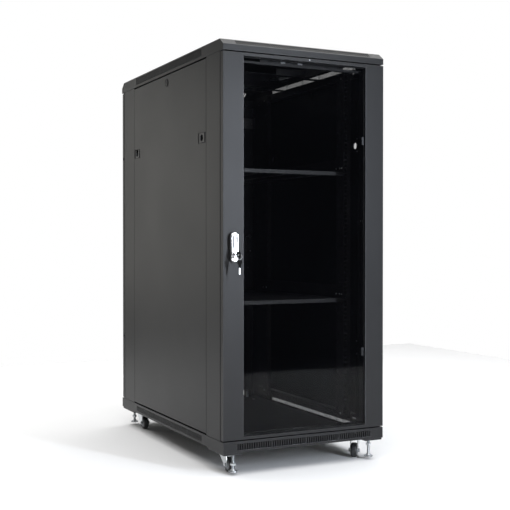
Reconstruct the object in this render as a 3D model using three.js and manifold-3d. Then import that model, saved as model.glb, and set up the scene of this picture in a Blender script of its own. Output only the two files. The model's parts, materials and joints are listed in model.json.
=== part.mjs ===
// A 27U network server cabinet on casters: 600 mm wide, 1000 mm deep, glass front door, steel rear door.
// Millimetres, +Z up, +X to the right seen from the front, the front door faces -Y.
// Everything is drawn about the middle of the plinth; the last lines move the origin to the middle of the
// bounding box, on the floor.
import * as THREE from "three";
import { mergeVertices } from "three/addons/utils/BufferGeometryUtils.js";
import Module from "manifold-3d";

const wasm = await Module();
wasm.setup();

// ---------------------------------------------------------------- driving dimensions

const WIDTH = 600;
const DEPTH = 1000;
const CASTER_HEIGHT = 74;
const PLINTH_HEIGHT = 36;
const UNITS = 27;
const UNIT = 44.45; // one rack unit
const UNIT_MARGIN = 38.85; // height between plinth and roof that the rack units leave over
const ROOF_HEIGHT = 39;

const SHEET = 2; // frame sheet steel
const SKIN = 1.5; // door and panel sheet steel
const FIT = 0.3; // gap between pieces that lie against each other
const FLANGE = 22; // inner flange of plinth and roof at the sides
const END_FLANGE = 34; // the same at front and rear

const ROOF_BAND = 19.5; // upright part of the roof's front edge, below its chamfer
const ROOF_CHAMFER = 26;
const VENT_FRONT = 500; // length of the vent rows
const VENT_SIDE = 648;
const VENT_TALL = 20;
const VENT_BAR = 5;

const DOOR_THICK = 20;
const DOOR_GAP = 4; // above and below the doors
const COLUMN_SETBACK = 24; // column behind the front face
const STILE = 70;
const DOOR_RAIL = 10;
const REAR_DOOR_INSET = 8;
const PIN_INSET = [6, 5]; // hinge pin from the door's edge and from its outer face
const PIN_RADIUS = 2.5;
const HINGE_OFFSET = 357; // hinges above and below the middle of the door

const FRONT_COLUMN_END = 135; // behind the front face
const REAR_COLUMN_START = 848;
const COLUMN_THICK = 22;
const SEAT_STEP = 15; // side panel's seat, past the column's edge
const BEAM_TALL = 28;
const BEAM_SETBACK = 97; // depth beams, behind the columns' faces

const RAIL_FACE = 134; // front rails behind the front face
const REAR_RAIL_FACE = 770;
const RAIL_INNER = 225; // half the clear width between the rails
const RAIL_OUTER = 252;
const RAIL_DEPTH = 50;
const HOLE_X = 232.55; // half of 465.1 mm between the hole rows
const HOLE_SIDE = 9.5;
const HOLES_IN_UNIT = [6.35, 22.225, 38.1];

const SHELF_TOPS = [547, 990];
const SHELF_LIP = 13;
const SHELF_EAR = 45;

const FAN_SIDE = 120;
const FAN_THICK = 25;
const FAN_BORE = 57;
const FAN_X = 130;
const FAN_Y = [-92, 145];
const BLADES = 5;

const SWIVEL = [250, 405]; // caster swivel axis from the middle
const WHEEL_RADIUS = 25;
const WHEEL_WIDTH = 20;
const TRAIL = 33;
const FOOT = [256, 478];
const FOOT_CLEARANCE = 10; // under a raised foot
const CORNER_PLATE = 7;
const PLATE_X = [231, 297]; // corner plates, from the middle
const PLATE_Y = [365, 497];
const CABLE_ENTRY = { x: [-65, 65], y: [300, 390] };
const VENT_LIFT = 8; // plinth vents above the plinth's bottom
const UPSTAND = 20; // sill behind each door, above the plinth
const STEM_BORE = 5.4; // round the 10 mm kingpins and foot stems

const HANDLE_X = 265;
const SPINDLE_Z = 761;
const LEVER_TOP = 14; // above the spindle
const LEVER_LENGTH = 95;
const LOCK_DROP = 57; // lock cylinder below the spindle
const CAM_PIN_RADIUS = 13;
const LIFT = 25; // degrees that the lever lifts
const KEY_REACH = 54.2; // key in front of the door's face
const LEVER_REACH = 16.2;
const PLUG_RADIUS = 6; // lock cylinder
const BOW_RADIUS = 12;
const BOW_HOLE = 6; // hole before the middle of the first key's bow
const LOOP_RADIUS = 8; // of the wire loop that joins the two keys
const LOOP_WIRE = 0.9;
const LOOP_DROP = 6.6; // its middle below the hole
const CAM_RADIUS = 16;
const ROD_X = 10; // lock rods beside the spindle
const ROD_HALF = 6.5;

const SIDE_GAP = 5; // over and under the side panels
const PANEL_THICK = 11.5;
const PANEL_LOCK_DROP = 27;
const LATCH_DROP = 256;
const LATCH_Y = [-334, 309];
const LATCH_TRAVEL = 8;

// ---------------------------------------------------------------- places worked out from them

const SIDE = WIDTH / 2;
const FRONT = -DEPTH / 2;
const REAR = DEPTH / 2;
const PLINTH_Z = [CASTER_HEIGHT, CASTER_HEIGHT + PLINTH_HEIGHT];
const ROOF_BOTTOM = PLINTH_Z[1] + UNITS * UNIT + UNIT_MARGIN;
const TOP = ROOF_BOTTOM + ROOF_HEIGHT;
const DOOR_Z = [PLINTH_Z[1] + DOOR_GAP, ROOF_BOTTOM - DOOR_GAP];
const BODY_MIDDLE = (PLINTH_Z[1] + ROOF_BOTTOM) / 2;
const UNIT_START = BODY_MIDDLE - (UNITS * UNIT) / 2;
const HINGE_Z = [BODY_MIDDLE - HINGE_OFFSET, BODY_MIDDLE + HINGE_OFFSET];
const COLUMN_FRONT = FRONT + COLUMN_SETBACK;
const COLUMN_REAR = REAR - REAR_DOOR_INSET - COLUMN_SETBACK;
const PANEL_Y = [FRONT + FRONT_COLUMN_END, FRONT + REAR_COLUMN_START];
const PANEL_Z = [PLINTH_Z[1] + SIDE_GAP, ROOF_BOTTOM - SIDE_GAP];
const LATCH_Z = PANEL_Z[1] - LATCH_DROP;
const REAR_FACE = REAR - REAR_DOOR_INSET;

// ---------------------------------------------------------------- solids from three.js geometry

function solid(geometry) {
  const bare = geometry.clone();
  bare.deleteAttribute("normal");
  bare.deleteAttribute("uv");
  const merged = mergeVertices(bare, 1e-4);
  const vertProperties = new Float32Array(merged.attributes.position.array);
  const triVerts = new Uint32Array(merged.index.array);
  return new wasm.Manifold(new wasm.Mesh({ numProp: 3, vertProperties, triVerts }));
}

function box(x, y, z) {
  const geometry = new THREE.BoxGeometry(x[1] - x[0], y[1] - y[0], z[1] - z[0]);
  geometry.translate((x[0] + x[1]) / 2, (y[0] + y[1]) / 2, (z[0] + z[1]) / 2);
  return solid(geometry);
}

// Which way an outline's own x, y and extrusion directions point, for a prism along each axis.
const TURNS = {
  x: [new THREE.Vector3(0, 1, 0), new THREE.Vector3(0, 0, 1), new THREE.Vector3(1, 0, 0)],
  y: [new THREE.Vector3(1, 0, 0), new THREE.Vector3(0, 0, 1), new THREE.Vector3(0, -1, 0)],
  z: [new THREE.Vector3(1, 0, 0), new THREE.Vector3(0, 1, 0), new THREE.Vector3(0, 0, 1)],
};

// An outline extruded along an axis: [y, z] points along x, [x, z] along y and [x, y] along z.
function prism(axis, outline, span) {
  const shape = new THREE.Shape(outline.map((p) => new THREE.Vector2(p[0], p[1])));
  const depth = span[1] - span[0];
  const geometry = new THREE.ExtrudeGeometry(shape, { depth, bevelEnabled: false });
  if (axis === "y") geometry.translate(0, 0, -span[1]);
  else geometry.translate(0, 0, span[0]);
  geometry.applyMatrix4(new THREE.Matrix4().makeBasis(...TURNS[axis]));
  return solid(geometry);
}

function circle(centre, radius, sides) {
  return Array.from({ length: sides }, (_, i) => {
    const angle = (2 * Math.PI * (i + 0.5)) / sides;
    return [centre[0] + radius * Math.cos(angle), centre[1] + radius * Math.sin(angle)];
  });
}

function cylinder(axis, centre, radius, span, sides = 16) {
  return prism(axis, circle(centre, radius, sides), span);
}

// A rounded outline of two half circles, one above the other, the lower one narrower.
function pill(centre, top, bottom, topRadius, bottomRadius, steps = 8) {
  const points = [];
  for (let i = 0; i <= steps; i += 1) {
    const angle = (Math.PI * i) / steps;
    points.push([
      centre + topRadius * Math.cos(angle),
      top - topRadius + topRadius * Math.sin(angle),
    ]);
  }
  for (let i = 0; i <= steps; i += 1) {
    const angle = Math.PI + (Math.PI * i) / steps;
    points.push([
      centre + bottomRadius * Math.cos(angle),
      bottom + bottomRadius + bottomRadius * Math.sin(angle),
    ]);
  }
  return points;
}

function join(...parts) {
  return parts.reduce((whole, part) => whole.add(part));
}

function cut(whole, ...tools) {
  return tools.reduce((left, tool) => left.subtract(tool), whole);
}

// ---------------------------------------------------------------- materials

const PAINT = { color: 0x2c2d31, roughness: 0.55, metalness: 0.25 };
const DARK_PAINT = { color: 0x17171a, roughness: 0.5, metalness: 0.2 };
const ZINC = { color: 0xc4c8ca, roughness: 0.35, metalness: 0.9 };
const CHROME = { color: 0xe6e8ea, roughness: 0.15, metalness: 1 };
const PLASTIC = { color: 0x121214, roughness: 0.45, metalness: 0 };
const TYRE = { color: 0x1a1a1d, roughness: 0.6, metalness: 0 };
const GLASS = { color: 0x23252b, roughness: 0.05, metalness: 0, transparent: true, opacity: 0.4 };

const cabinet = new THREE.Group();

function add(name, shape, look) {
  const made = shape.getMesh();
  const geometry = new THREE.BufferGeometry();
  geometry.setAttribute("position", new THREE.BufferAttribute(made.vertProperties, 3));
  geometry.setIndex(new THREE.BufferAttribute(made.triVerts, 1));
  const mesh = new THREE.Mesh(geometry, new THREE.MeshStandardMaterial(look));
  mesh.name = name;
  cabinet.add(mesh);
  return mesh;
}

// The right-hand piece as drawn and its mirror image on the left.
function addPair(name, shape, look) {
  add(`${name}_right`, shape, look);
  add(`${name}_left`, shape, look).scale.x = -1;
}

// The four corners, each as signs of x and y.
const CORNERS = [
  ["front_right", 1, -1],
  ["front_left", -1, -1],
  ["rear_right", 1, 1],
  ["rear_left", -1, 1],
];

// ---------------------------------------------------------------- frame

// Middles of equal windows, with bars between them, along a vent row.
function windows(length, count) {
  const pitch = (length + VENT_BAR) / count;
  const half = (pitch - VENT_BAR) / 2;
  return Array.from({ length: count }, (_, i) => {
    const middle = (i - (count - 1) / 2) * pitch;
    return [middle - half, middle + half];
  });
}

function plinth() {
  const [low, high] = PLINTH_Z;
  let body = box([-SIDE, SIDE], [FRONT, REAR], [low, high]);
  const inner = SIDE - SHEET;
  const hollow = box([-inner, inner], [FRONT + SHEET, REAR - SHEET], [low + SHEET, high - SHEET]);
  const mouth = box(
    [-SIDE + FLANGE, SIDE - FLANGE],
    [FRONT + END_FLANGE, REAR - END_FLANGE],
    [high - 2 * SHEET, high + 1],
  );
  const cableEntry = box(CABLE_ENTRY.x, CABLE_ENTRY.y, [low - 1, low + SHEET + 1]);
  body = cut(body, hollow, mouth, cableEntry);
  const ventZ = [low + VENT_LIFT, low + VENT_LIFT + VENT_TALL];
  for (const span of windows(VENT_FRONT, 4))
    body = cut(body, box(span, [FRONT - 1, FRONT + 9], ventZ), box(span, [REAR - 9, REAR + 1], ventZ));
  for (const span of windows(VENT_SIDE, 5))
    body = cut(body, box([-SIDE - 1, -SIDE + 9], span, ventZ), box([SIDE - 9, SIDE + 1], span, ventZ));
  // Upstands across front and rear that tie the columns together above the floor.
  const upstand = [-SIDE + FLANGE + 1, SIDE - FLANGE - 1];
  const upstandZ = [high - SHEET, high + UPSTAND];
  const frontY = FRONT + END_FLANGE - SHEET;
  const rearY = REAR - END_FLANGE;
  body = join(
    body,
    box(upstand, [frontY, frontY + SHEET], upstandZ),
    box(upstand, [rearY, rearY + SHEET], upstandZ),
  );
  // A plate under each corner carries a caster and a levelling foot.
  for (const [, sx, sy] of CORNERS) {
    const x = PLATE_X.map((at) => sx * at).sort((a, b) => a - b);
    const y = PLATE_Y.map((at) => sy * at).sort((a, b) => a - b);
    const through = [low - CORNER_PLATE - 1, low + SHEET + 1];
    body = body.add(box(x, y, [low - CORNER_PLATE, low]));
    body = cut(
      body,
      cylinder("z", [sx * SWIVEL[0], sy * SWIVEL[1]], STEM_BORE, through, 12),
      cylinder("z", [sx * FOOT[0], sy * FOOT[1]], STEM_BORE, through, 12),
    );
  }
  return body;
}

function roof() {
  const shoulder = ROOF_BOTTOM + ROOF_BAND;
  const outline = (inset) => [
    [FRONT + inset, ROOF_BOTTOM + inset],
    [REAR - inset, ROOF_BOTTOM + inset],
    [REAR - inset, shoulder - inset * 0.4],
    [REAR - ROOF_CHAMFER - inset * 0.4, TOP - inset],
    [FRONT + ROOF_CHAMFER + inset * 0.4, TOP - inset],
    [FRONT + inset, shoulder - inset * 0.4],
  ];
  const shell = prism("x", outline(0), [-SIDE, SIDE]);
  const hollow = prism("x", outline(SHEET), [-SIDE + SHEET, SIDE - SHEET]);
  const mouth = box(
    [-SIDE + FLANGE, SIDE - FLANGE],
    [FRONT + END_FLANGE, REAR - END_FLANGE],
    [ROOF_BOTTOM - 1, ROOF_BOTTOM + SHEET + 1],
  );
  let body = cut(shell, hollow, mouth);
  const sideZ = [ROOF_BOTTOM + 9, TOP - 4];
  for (const span of windows(VENT_SIDE, 5))
    body = cut(body, box([-SIDE - 1, -SIDE + 9], span, sideZ), box([SIDE - 9, SIDE + 1], span, sideZ));
  const slopeZ = [shoulder + 3, TOP - 4];
  const reach = ROOF_CHAMFER - 2;
  for (const span of windows(VENT_FRONT, 4))
    body = cut(
      body,
      box(span, [FRONT - 1, FRONT + reach], slopeZ),
      box(span, [REAR - reach, REAR + 1], slopeZ),
    );
  return body;
}

// A folded corner column: outer wall, front flange, inner wall and a seat for the side panel.
function column(face, seat) {
  const way = Math.sign(seat - face);
  const inner = SIDE - COLUMN_THICK;
  const depth = Math.abs(seat - face) - 17;
  const y = (distance) => face + way * distance;
  const lip = PANEL_THICK + FIT;
  return prism(
    "z",
    [
      [SIDE, y(0)],
      [SIDE, seat],
      [SIDE - lip, seat],
      [SIDE - lip, seat + way * SEAT_STEP],
      [SIDE - lip - SHEET, seat + way * SEAT_STEP],
      [SIDE - lip - SHEET, seat - way * SHEET],
      [SIDE - SHEET, seat - way * SHEET],
      [SIDE - SHEET, y(SHEET)],
      [inner + SHEET, y(SHEET)],
      [inner + SHEET, y(depth)],
      [inner, y(depth)],
      [inner, y(0)],
    ],
    [PLINTH_Z[1] + FIT, ROOF_BOTTOM - FIT],
  );
}

function crossBeam(y) {
  const x = [-SIDE + COLUMN_THICK + FIT, SIDE - COLUMN_THICK - FIT];
  const z = [ROOF_BOTTOM - 30, ROOF_BOTTOM - FIT];
  const web = box(x, [y, y + SHEET], z);
  const foot = box(x, [y, y + 16], [z[0], z[0] + SHEET]);
  return join(web, foot);
}

// A channel from front column to rear column that carries the mounting rails.
function depthBeam(low) {
  const y = [COLUMN_FRONT + BEAM_SETBACK, COLUMN_REAR - BEAM_SETBACK];
  const x = [RAIL_OUTER + FIT, SIDE - COLUMN_THICK - 1];
  const high = low + BEAM_TALL;
  const hollow = box([x[0] + SHEET, x[1] + 1], [y[0] - 1, y[1] + 1], [low + SHEET, high - SHEET]);
  return cut(box(x, y, [low, high]), hollow);
}

// A 19-inch mounting rail: a face with square holes, a web running back and two returns. The front
// rails have all three holes of each unit, the rear rails only the middle one.
function mountingRail(face, way, offsets) {
  const z = [UNIT_START - 6, UNIT_START + UNITS * UNIT + 6];
  const y = (distance) => face + way * distance;
  let rail = prism(
    "z",
    [
      [RAIL_INNER, y(0)],
      [RAIL_OUTER, y(0)],
      [RAIL_OUTER, y(14)],
      [RAIL_OUTER - SHEET, y(14)],
      [RAIL_OUTER - SHEET, y(SHEET)],
      [RAIL_INNER + SHEET, y(SHEET)],
      [RAIL_INNER + SHEET, y(RAIL_DEPTH - SHEET)],
      [RAIL_INNER + 14, y(RAIL_DEPTH - SHEET)],
      [RAIL_INNER + 14, y(RAIL_DEPTH)],
      [RAIL_INNER, y(RAIL_DEPTH)],
    ],
    z,
  );
  const half = HOLE_SIDE / 2;
  const through = [y(-1), y(SHEET + 1)].sort((a, b) => a - b);
  for (let unit = 0; unit < UNITS; unit += 1)
    for (const offset of offsets) {
      const middle = UNIT_START + unit * UNIT + offset;
      const hole = box([HOLE_X - half, HOLE_X + half], through, [middle - half, middle + half]);
      rail = rail.subtract(hole);
    }
  return rail;
}

// A fixed shelf: a plate between the rails with upright sides, a front lip and vent slots.
function shelf(top) {
  const half = RAIL_INNER - 1.2;
  const y = [FRONT + RAIL_FACE, FRONT + REAR_RAIL_FACE];
  const plate = box([-half, half], y, [top - SKIN, top]);
  const lip = box([-half, half], [y[0], y[0] + SKIN], [top - SHELF_LIP, top]);
  const ear = [top, top + SHELF_EAR];
  let body = join(
    plate,
    lip,
    box([-half, -half + SKIN], y, ear),
    box([half - SKIN, half], y, ear),
  );
  for (const row of [-150, -50, 50, 150])
    for (const column of [0.2, 0.5, 0.8]) {
      const middle = y[0] + (y[1] - y[0]) * column;
      body = body.subtract(box([row - 40, row + 40], [middle - 4, middle + 4], [top - 3, top + 1]));
    }
  return body;
}

// ---------------------------------------------------------------- fan unit

function fanTray() {
  const z = [ROOF_BOTTOM + FIT, ROOF_BOTTOM + FIT + SKIN];
  const high = z[1] + FAN_THICK;
  const half = FAN_SIDE / 2;
  const edge = 14;
  const x = FAN_X + half + edge;
  let body = box([-x, x], [FAN_Y[0] - half - edge, FAN_Y[1] + half + edge], z);
  // Two straps reach the roof's side flanges, just above them.
  for (const middle of [FAN_Y[0] - 20, FAN_Y[1] + 20]) {
    const lifted = [ROOF_BOTTOM + SHEET + FIT, ROOF_BOTTOM + SHEET + FIT + SKIN];
    body = body.add(box([-SIDE + 6, SIDE - 6], [middle - 15, middle + 15], lifted));
    body = body.add(box([-x + 1, x - 1], [middle - 15, middle + 15], [z[1], lifted[1]]));
  }
  for (const sx of [-1, 1])
    for (const y of FAN_Y) {
      const at = [sx * FAN_X, y];
      const frame = box([at[0] - half, at[0] + half], [y - half, y + half], [z[1] - 0.5, high]);
      body = body.add(frame).subtract(cylinder("z", at, FAN_BORE, [z[0] - 1, high + 1], 24));
      const motor = cylinder("z", at, 20, [high - 5, high], 12);
      const arms = join(
        box([at[0] - FAN_BORE - 1, at[0] + FAN_BORE + 1], [y - 3, y + 3], [high - 3, high]),
        box([at[0] - 3, at[0] + 3], [y - FAN_BORE - 1, y + FAN_BORE + 1], [high - 3, high]),
      );
      body = join(body, motor, arms).subtract(cylinder("z", at, 2.3, [high - 6, high + 1], 8));
    }
  return body;
}

// Hub, shaft and slanted blades about the z axis, standing on z = 0.
function fanRotor() {
  const hubTop = 17.5;
  let rotor = join(
    cylinder("z", [0, 0], 19, [0, hubTop], 12),
    cylinder("z", [0, 0], 2, [hubTop - 1, hubTop + 4.5], 8),
  );
  for (let i = 0; i < BLADES; i += 1) {
    const blade = new THREE.BoxGeometry(37, 30, 1.6);
    blade.rotateX(THREE.MathUtils.degToRad(28));
    blade.translate(35, 0, hubTop / 2);
    blade.rotateZ((2 * Math.PI * i) / BLADES);
    rotor = rotor.add(solid(blade));
  }
  return rotor;
}

// ---------------------------------------------------------------- casters and feet

// A swivel fork about the z axis, trailing towards -y, with its axle and kingpin.
function casterFork() {
  const top = CASTER_HEIGHT - CORNER_PLATE - FIT;
  const inner = WHEEL_WIDTH / 2 + 1.2;
  const outer = inner + 2.5;
  const cheek = [
    [24, top],
    [24, top - 7],
    [-TRAIL + 9, WHEEL_RADIUS - 8],
    [-TRAIL - 3, WHEEL_RADIUS - 9],
    [-TRAIL - 9, WHEEL_RADIUS],
    [-TRAIL - 4, top - 10],
    [-24, top],
  ].reverse();
  const race = cylinder("z", [0, 0], 24, [top - 6, top], 16);
  const clearWheel = box([-inner, inner], [-80, 40], [0, top - 7]);
  const axle = cylinder("x", [-TRAIL, WHEEL_RADIUS], 4, [-outer - 1.5, outer + 1.5], 12);
  return join(
    cut(prism("x", cheek, [-outer, outer]), clearWheel),
    race,
    axle,
    cylinder("z", [0, 0], 5, [top - 1, PLINTH_Z[0] + SHEET + 2], 12),
  );
}

// A wheel about the x axis, turned with a crowned tread.
function casterWheel() {
  const half = WHEEL_WIDTH / 2;
  const profile = [
    [4.2, -half],
    [WHEEL_RADIUS - 3, -half],
    [WHEEL_RADIUS, -half + 4],
    [WHEEL_RADIUS, half - 4],
    [WHEEL_RADIUS - 3, half],
    [4.2, half],
    [4.2, -half],
  ].map((p) => new THREE.Vector2(p[0], p[1]));
  const turned = new THREE.LatheGeometry(profile, 20);
  turned.rotateZ(-Math.PI / 2);
  return solid(turned);
}

// A levelling foot about the z axis: round pad, threaded stem and lock nut.
function levellingFoot() {
  const low = FOOT_CLEARANCE;
  const pad = [
    [0, low],
    [15, low],
    [15, low + 3],
    [8, low + 7],
    [0, low + 7],
  ].map((p) => new THREE.Vector2(p[0], p[1]));
  const turned = new THREE.LatheGeometry(pad, 16);
  turned.rotateX(Math.PI / 2);
  const stem = cylinder("z", [0, 0], 5, [low + 6, PLINTH_Z[1] - 8], 12);
  const nut = cylinder("z", [0, 0], 9, [low + 20, low + 28], 6);
  return join(solid(turned), stem, nut);
}

function addCasters() {
  // Each caster rests as it happened to stop: all trail to the front, one turned outwards.
  const restTurn = { front_right: -40, front_left: 0, rear_right: 12, rear_left: 0 };
  for (const [corner, sx, sy] of CORNERS) {
    const turn = THREE.MathUtils.degToRad(restTurn[corner]);
    const caster = new THREE.Group();
    caster.position.set(sx * SWIVEL[0], sy * SWIVEL[1], 0);
    caster.rotation.z = turn;
    cabinet.add(caster);
    caster.add(add(`caster_fork_${corner}`, casterFork(), ZINC));
    const wheel = add(`caster_wheel_${corner}`, casterWheel(), TYRE);
    wheel.position.set(0, -TRAIL, WHEEL_RADIUS);
    caster.add(wheel);
    add(`foot_${corner}`, levellingFoot(), ZINC).position.set(sx * FOOT[0], sy * FOOT[1], 0);
  }
}

// ---------------------------------------------------------------- doors and their hinges

const PIN_X = SIDE - PIN_INSET[0];

// The part of a hinge that is screwed to the column, for a door facing -y hinged on the right.
function hinge(z) {
  const pinY = FRONT + PIN_INSET[1];
  const plateY = [COLUMN_FRONT - FIT - 1.7, COLUMN_FRONT - FIT];
  return join(
    box([SIDE - 20, SIDE - 2], plateY, [z - 30, z + 30]),
    box([PIN_X - 1.5, PIN_X + 1.5], [pinY - 2.5, plateY[1]], [z - 8, z]),
    cylinder("z", [PIN_X, pinY], PIN_RADIUS, [z - 8, z + 12]),
  );
}

// Door-side lug round the pin, with the slot in the door's edge that lets the hinge arm pass.
function addLug(door, z) {
  const pinY = FRONT + PIN_INSET[1];
  const lug = box([PIN_X - 5, SIDE - 1], [FRONT + 1, pinY + 5], [z + FIT, z + 9]);
  const slot = box([SIDE - SKIN - 0.5, SIDE + 1], [FRONT + SKIN + 0.3, FRONT + 40], [z - 10, z + FIT]);
  const bore = cylinder("z", [PIN_X, pinY], PIN_RADIUS + 0.1, [z - 1, z + 10]);
  return cut(door, slot).add(lug).subtract(bore);
}

function frontDoorFrame() {
  const y = [FRONT, FRONT + DOOR_THICK];
  const channelY = [FRONT + SKIN, FRONT + DOOR_THICK + 1];
  const channelZ = [DOOR_Z[0] + SKIN, DOOR_Z[1] - SKIN];
  const channelX = [SIDE - STILE + SKIN, SIDE - SKIN];
  const clear = SIDE - STILE;
  let door = cut(
    box([-SIDE, SIDE], y, DOOR_Z),
    box([-clear, clear], [y[0] - 1, y[1] + 1], [DOOR_Z[0] + DOOR_RAIL, DOOR_Z[1] - DOOR_RAIL]),
    box(channelX, channelY, channelZ),
    box([-channelX[1], -channelX[0]], channelY, channelZ),
  );
  for (const z of HINGE_Z) door = addLug(door, z);
  // Spindle hole and the rods' slots through the top and bottom edges.
  return cut(
    door,
    cylinder("y", [-HANDLE_X, SPINDLE_Z], 9.4, [FRONT - 1, FRONT + 3]),
    box([-HANDLE_X - 17, -HANDLE_X - 3], [FRONT + 14, FRONT + 19], [DOOR_Z[1] - 3, DOOR_Z[1] + 1]),
    box([-HANDLE_X + 3, -HANDLE_X + 17], [FRONT + 14, FRONT + 19], [DOOR_Z[0] - 1, DOOR_Z[0] + 3]),
  );
}

function frontDoorGlass() {
  const clear = SIDE - STILE - 0.5;
  return box(
    [-clear, clear],
    [FRONT + 3, FRONT + 8],
    [DOOR_Z[0] + DOOR_RAIL + 0.5, DOOR_Z[1] - DOOR_RAIL - 0.5],
  );
}

// Drawn as a front door hinged on the right; the rear door is this turned half round.
function rearDoorPanel() {
  const inner = SIDE - SKIN;
  let door = cut(
    box([-SIDE, SIDE], [FRONT, FRONT + DOOR_THICK], DOOR_Z),
    box([-inner, inner], [FRONT + SKIN, FRONT + DOOR_THICK + 1], [DOOR_Z[0] + SKIN, DOOR_Z[1] - SKIN]),
  );
  for (const z of HINGE_Z) door = addLug(door, z);
  return cut(door, cylinder("y", [-HANDLE_X, SPINDLE_Z], 9.4, [FRONT - 1, FRONT + 3]));
}

// ---------------------------------------------------------------- swing handle, on a door facing -y

const PIVOT_Y = FRONT - 9.7; // cross pin that the lever lifts on

function handleBase() {
  const plate = prism(
    "y",
    pill(-HANDLE_X, SPINDLE_Z + 17, SPINDLE_Z - 84, 16, 12),
    [FRONT - 3.3, FRONT - FIT],
  );
  const boss = cylinder("y", [-HANDLE_X, SPINDLE_Z], 9, [FRONT - 1, FRONT + 11]);
  const bore = cylinder("y", [-HANDLE_X, SPINDLE_Z], 5.15, [FRONT - 9, FRONT + 12]);
  return join(plate, boss).subtract(bore);
}

// Spindle, the block and cross pin that the lever hangs on, and the cam inside the door.
function lockHub(withPins) {
  const x = -HANDLE_X;
  const z = SPINDLE_Z;
  const camY = [FRONT + 11 + FIT, FRONT + 14];
  let hub = join(
    cylinder("y", [x, z], 5, [FRONT - 5, camY[1]]),
    box([x - 5, x + 5], [PIVOT_Y - 2.2, FRONT - 4], [z - 4, z + 4]),
    cylinder("x", [PIVOT_Y, z], 1.5, [x - 9.5, x + 9.5], 12),
    cylinder("y", [x, z], CAM_RADIUS, camY),
  );
  if (!withPins) return hub.add(box([x - 8, x + 8], camY, [z - 34, z]));
  for (const sign of [-1, 1]) {
    const reach = CAM_PIN_RADIUS * Math.SQRT1_2 * sign;
    hub = hub.add(cylinder("y", [x - reach, z + reach], 2, [camY[1] - 1, FRONT + 19], 12));
  }
  return hub;
}

// The lever: a tapered pill with a pocket for the hub's block, sloped behind its top so it can lift.
function handleLever(withLock) {
  const x = -HANDLE_X;
  const z = SPINDLE_Z;
  const slope = LEVER_TOP * Math.tan(THREE.MathUtils.degToRad(LIFT + 2));
  const bottom = z + LEVER_TOP - LEVER_LENGTH;
  const side = [
    [PIVOT_Y - 6.5, bottom],
    [PIVOT_Y + 5, bottom],
    [PIVOT_Y + 5, z],
    [PIVOT_Y + 5 - slope, z + LEVER_TOP],
    [PIVOT_Y - 6.5, z + LEVER_TOP],
  ];
  const outline = prism("y", pill(x, z + LEVER_TOP, bottom, 14, 10.5), [PIVOT_Y - 9, PIVOT_Y + 9]);
  let lever = prism("x", side, [x - 20, x + 20]).intersect(outline);
  lever = cut(
    lever,
    box([x - 5.5, x + 5.5], [PIVOT_Y - 4.8, PIVOT_Y + 9], [z - 9.5, z + 7.5]),
    cylinder("x", [PIVOT_Y, z], 1.65, [x - 10, x + 10], 12),
  );
  if (!withLock) return lever;
  return lever.subtract(cylinder("y", [x, z - LOCK_DROP], 6.2, [PIVOT_Y - 9, PIVOT_Y + 9]));
}

// Lock cylinder in the lever with the key in it, its bow upright.
function lockKey() {
  const x = -HANDLE_X;
  const z = SPINDLE_Z - LOCK_DROP;
  const bow = FRONT - KEY_REACH + BOW_RADIUS;
  return join(
    cylinder("y", [x, z], PLUG_RADIUS, [PIVOT_Y - 7.5, PIVOT_Y + 4]),
    box([x - 1.2, x + 1.2], [bow, PIVOT_Y - 7], [z - 4, z + 4]),
    cylinder("x", [bow, z], BOW_RADIUS, [x - 1.6, x + 1.6], 20),
  ).subtract(cylinder("x", [bow - BOW_HOLE, z], 3.2, [x - 2, x + 2], 12));
}

// A spare key that hangs from the first one: a loop through the first bow, fixed to the spare's own.
function spareKey() {
  const x = -HANDLE_X;
  const y = FRONT - KEY_REACH + BOW_RADIUS - BOW_HOLE;
  const hole = SPINDLE_Z - LOCK_DROP;
  const bow = hole - LOOP_DROP - LOOP_RADIUS - BOW_RADIUS + 0.2;
  const loop = new THREE.TorusGeometry(LOOP_RADIUS, LOOP_WIRE, 6, 20);
  loop.rotateX(Math.PI / 2);
  loop.translate(x, y, hole - LOOP_DROP);
  return join(
    solid(loop),
    cylinder("y", [x, bow], BOW_RADIUS, [y - 1.4, y + 1.4], 20),
    box([x - 4, x + 4], [y - 1, y + 1], [bow - 36, bow - 8]),
  );
}

// A flat lock rod with a slotted foot that the cam's pin drives. way is 1 for the upper rod.
function lockRod(way) {
  const x = -HANDLE_X - way * ROD_X;
  const y = [FRONT + 14.6, FRONT + 18];
  const reach = CAM_PIN_RADIUS * Math.SQRT1_2;
  const pinZ = SPINDLE_Z + way * reach;
  const end = way > 0 ? DOOR_Z[1] : DOOR_Z[0];
  const bar = [pinZ - way * 6, end].sort((a, b) => a - b);
  const slotX = [x - way * 5.5, x + way * 3.6].sort((a, b) => a - b);
  const slot = box(slotX, [y[0] - 1, y[1] + 1], [pinZ - 3, pinZ + 3]);
  return cut(box([x - ROD_HALF, x + ROD_HALF], y, bar), slot);
}

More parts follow.
